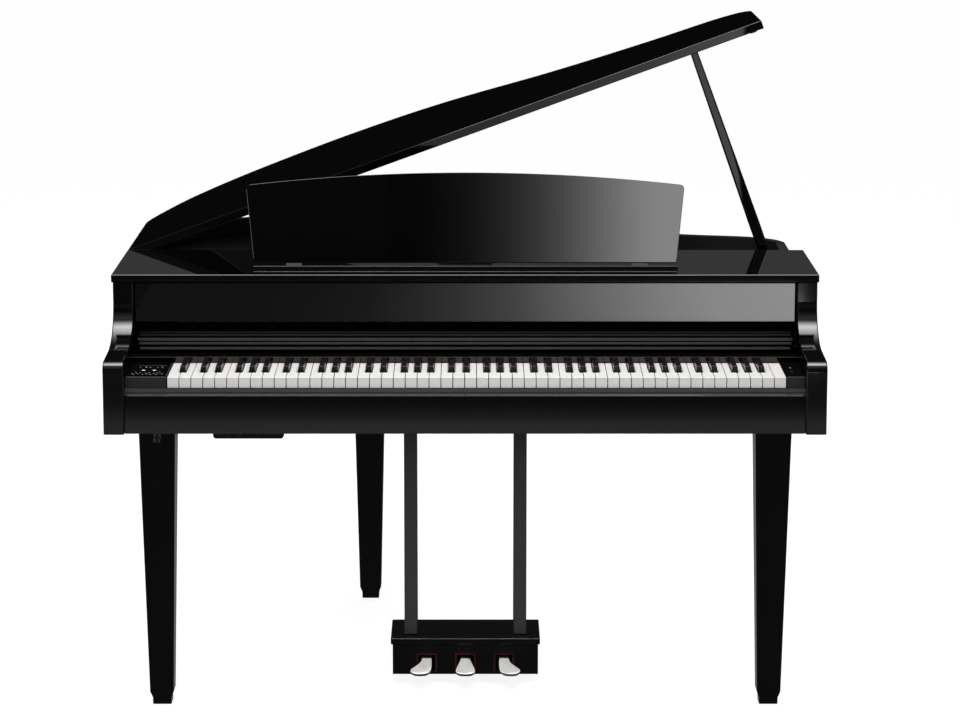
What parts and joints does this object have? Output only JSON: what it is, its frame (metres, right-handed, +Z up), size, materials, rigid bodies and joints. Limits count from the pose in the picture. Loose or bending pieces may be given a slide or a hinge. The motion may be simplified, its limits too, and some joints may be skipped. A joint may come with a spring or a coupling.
{
  "type": "digital grand piano",
  "caption": "Polished ebony digital grand piano with a propped lid, folding key cover, music desk, weighted keyboard, three pedals on a lyre and tapered legs.",
  "frame": {"origin": "on the floor under the middle of the case: middle of the width and of the depth, at the underside of the feet", "axes": "+X towards the treble side along the keyboard, +Y from the player towards the tail, +Z up"},
  "size_m": [1.435, 1.226, 1.3915],
  "materials": {
    "satin_black": "satin black",
    "white_key": "satin ivory white",
    "black_key": "satin ebony",
    "felt": "red wool felt",
    "silver": "satin nickel",
    "steel": "black painted steel",
    "rubber": "black rubber",
    "circuit": "green circuit board",
    "lacquered_wood": "polished black lacquer on wood board"
  },
  "bodies": {
    "case": {"left_arm": "lacquered_wood", "right_arm": "lacquered_wood", "music_shelf": "lacquered_wood", "key_bed": "lacquered_wood", "key_slip": "lacquered_wood", "left_key_block": "lacquered_wood", "right_key_block": "lacquered_wood", "control_plate": "satin_black", "white_keys": "white_key", "sharp_keys": "black_key", "felt_rail": "lacquered_wood", "key_felt": "felt", "fallboard_back": "lacquered_wood", "desk_ledge": "lacquered_wood", "rim": "lacquered_wood", "bottom_board": "lacquered_wood", "inner_panel": "lacquered_wood", "lid_hinge_rim_leaf": "steel", "prop_bracket": "steel", "speaker_left": "steel", "speaker_right": "steel", "main_board": "circuit", "power_inlet": "satin_black", "front_left_leg": "lacquered_wood", "front_right_leg": "lacquered_wood", "rear_leg": "lacquered_wood", "left_lyre_post": "lacquered_wood", "right_lyre_post": "lacquered_wood", "pedal_box": "lacquered_wood", "pedal_box_top": "lacquered_wood", "pedal_front": "lacquered_wood", "pedal_felt": "felt", "headphone_box": "satin_black", "headphone_hook": "steel"},
    "lid": {"lid": "lacquered_wood", "lid_bumper": "rubber", "lid_hinge_lid_leaf": "steel"},
    "lid_prop": {"lid_prop": "lacquered_wood"},
    "key_cover": {"key_cover": "lacquered_wood"},
    "key_cover_flap": {"key_cover_flap": "lacquered_wood"},
    "music_desk": {"music_desk": "lacquered_wood"},
    "desk_stay": {"desk_stay": "steel"},
    "key_c": {"key_c": "white_key"},
    "key_c_sharp": {"key_c_sharp": "black_key"},
    "key_d": {"key_d": "white_key"},
    "key_d_sharp": {"key_d_sharp": "black_key"},
    "key_e": {"key_e": "white_key"},
    "key_f": {"key_f": "white_key"},
    "key_f_sharp": {"key_f_sharp": "black_key"},
    "key_g": {"key_g": "white_key"},
    "key_g_sharp": {"key_g_sharp": "black_key"},
    "key_a": {"key_a": "white_key"},
    "key_a_sharp": {"key_a_sharp": "black_key"},
    "key_b": {"key_b": "white_key"},
    "left_pedal": {"left_pedal": "silver"},
    "centre_pedal": {"centre_pedal": "silver"},
    "right_pedal": {"right_pedal": "silver"},
    "button_volume": {"button_volume": "satin_black"},
    "button_voice": {"button_voice": "satin_black"},
    "button_power": {"button_power": "satin_black"}
  },
  "joints": [
    {"name": "lid_hinge", "type": "hinge", "parent": "case", "child": "lid", "pos_m": [-0.7145, -0.082, 0.887], "axis": [0, -1, 0], "range_deg": [0, 12]},
    {"name": "lid_prop_hinge", "type": "hinge", "parent": "case", "child": "lid_prop", "pos_m": [0.65, -0.038, 0.8625], "axis": [0, -1, 0], "range_deg": [0, 69]},
    {"name": "key_cover_hinge", "type": "hinge", "parent": "case", "child": "key_cover", "pos_m": [0, -0.3765, 0.752], "axis": [1, 0, 0], "range_deg": [0, 90]},
    {"name": "key_cover_flap_hinge", "type": "hinge", "parent": "key_cover", "child": "key_cover_flap", "pos_m": [0, -0.3849, 0.887], "axis": [-1, 0, 0], "range_deg": [0, 180]},
    {"name": "music_desk_hinge", "type": "hinge", "parent": "case", "child": "music_desk", "pos_m": [0, -0.363, 0.923], "axis": [-1, 0, 0], "range_deg": [0, 73]},
    {"name": "desk_stay_hinge", "type": "hinge", "parent": "music_desk", "child": "desk_stay", "pos_m": [0, -0.33255, 0.97643], "axis": [1, 0, 0], "range_deg": [0, 123]},
    {"name": "key_c_hinge", "type": "hinge", "parent": "case", "child": "key_c", "pos_m": [0, -0.363, 0.707], "axis": [1, 0, 0], "range_deg": [0, 2.6], "stiffness_Nm_per_rad": 4, "springref_deg": -5.73},
    {"name": "key_c_sharp_hinge", "type": "hinge", "parent": "case", "child": "key_c_sharp", "pos_m": [0, -0.363, 0.707], "axis": [1, 0, 0], "range_deg": [0, 2.6], "stiffness_Nm_per_rad": 4, "springref_deg": -5.73},
    {"name": "key_d_hinge", "type": "hinge", "parent": "case", "child": "key_d", "pos_m": [0, -0.363, 0.707], "axis": [1, 0, 0], "range_deg": [0, 2.6], "stiffness_Nm_per_rad": 4, "springref_deg": -5.73},
    {"name": "key_d_sharp_hinge", "type": "hinge", "parent": "case", "child": "key_d_sharp", "pos_m": [0, -0.363, 0.707], "axis": [1, 0, 0], "range_deg": [0, 2.6], "stiffness_Nm_per_rad": 4, "springref_deg": -5.73},
    {"name": "key_e_hinge", "type": "hinge", "parent": "case", "child": "key_e", "pos_m": [0, -0.363, 0.707], "axis": [1, 0, 0], "range_deg": [0, 2.6], "stiffness_Nm_per_rad": 4, "springref_deg": -5.73},
    {"name": "key_f_hinge", "type": "hinge", "parent": "case", "child": "key_f", "pos_m": [0, -0.363, 0.707], "axis": [1, 0, 0], "range_deg": [0, 2.6], "stiffness_Nm_per_rad": 4, "springref_deg": -5.73},
    {"name": "key_f_sharp_hinge", "type": "hinge", "parent": "case", "child": "key_f_sharp", "pos_m": [0, -0.363, 0.707], "axis": [1, 0, 0], "range_deg": [0, 2.6], "stiffness_Nm_per_rad": 4, "springref_deg": -5.73},
    {"name": "key_g_hinge", "type": "hinge", "parent": "case", "child": "key_g", "pos_m": [0, -0.363, 0.707], "axis": [1, 0, 0], "range_deg": [0, 2.6], "stiffness_Nm_per_rad": 4, "springref_deg": -5.73},
    {"name": "key_g_sharp_hinge", "type": "hinge", "parent": "case", "child": "key_g_sharp", "pos_m": [0, -0.363, 0.707], "axis": [1, 0, 0], "range_deg": [0, 2.6], "stiffness_Nm_per_rad": 4, "springref_deg": -5.73},
    {"name": "key_a_hinge", "type": "hinge", "parent": "case", "child": "key_a", "pos_m": [0, -0.363, 0.707], "axis": [1, 0, 0], "range_deg": [0, 2.6], "stiffness_Nm_per_rad": 4, "springref_deg": -5.73},
    {"name": "key_a_sharp_hinge", "type": "hinge", "parent": "case", "child": "key_a_sharp", "pos_m": [0, -0.363, 0.707], "axis": [1, 0, 0], "range_deg": [0, 2.6], "stiffness_Nm_per_rad": 4, "springref_deg": -5.73},
    {"name": "key_b_hinge", "type": "hinge", "parent": "case", "child": "key_b", "pos_m": [0, -0.363, 0.707], "axis": [1, 0, 0], "range_deg": [0, 2.6], "stiffness_Nm_per_rad": 4, "springref_deg": -5.73},
    {"name": "left_pedal_hinge", "type": "hinge", "parent": "case", "child": "left_pedal", "pos_m": [-0.0815, -0.173, 0.064], "axis": [1, 0, 0], "range_deg": [0, 5.5], "stiffness_Nm_per_rad": 20, "springref_deg": -8.59},
    {"name": "centre_pedal_hinge", "type": "hinge", "parent": "case", "child": "centre_pedal", "pos_m": [0, -0.173, 0.064], "axis": [1, 0, 0], "range_deg": [0, 5.5], "stiffness_Nm_per_rad": 20, "springref_deg": -8.59},
    {"name": "right_pedal_hinge", "type": "hinge", "parent": "case", "child": "right_pedal", "pos_m": [0.0815, -0.173, 0.064], "axis": [1, 0, 0], "range_deg": [0, 5.5], "stiffness_Nm_per_rad": 20, "springref_deg": -8.59},
    {"name": "button_volume_slide", "type": "slide", "parent": "case", "child": "button_volume", "axis": [0, 0, -1], "range_m": [0, 0.0012], "stiffness_N_per_m": 600, "springref_m": -0.0008},
    {"name": "button_voice_slide", "type": "slide", "parent": "case", "child": "button_voice", "axis": [0, 0, -1], "range_m": [0, 0.0012], "stiffness_N_per_m": 600, "springref_m": -0.0008},
    {"name": "button_power_slide", "type": "slide", "parent": "case", "child": "button_power", "axis": [0, 0, -1], "range_m": [0, 0.0012], "stiffness_N_per_m": 600, "springref_m": -0.0008}
  ],
  "couplings": [
    {"joint": "key_cover_flap_hinge", "follows": "key_cover_hinge", "ratio": 2},
    {"joint": "desk_stay_hinge", "follows": "music_desk_hinge", "ratio": 1.6849}
  ]
}
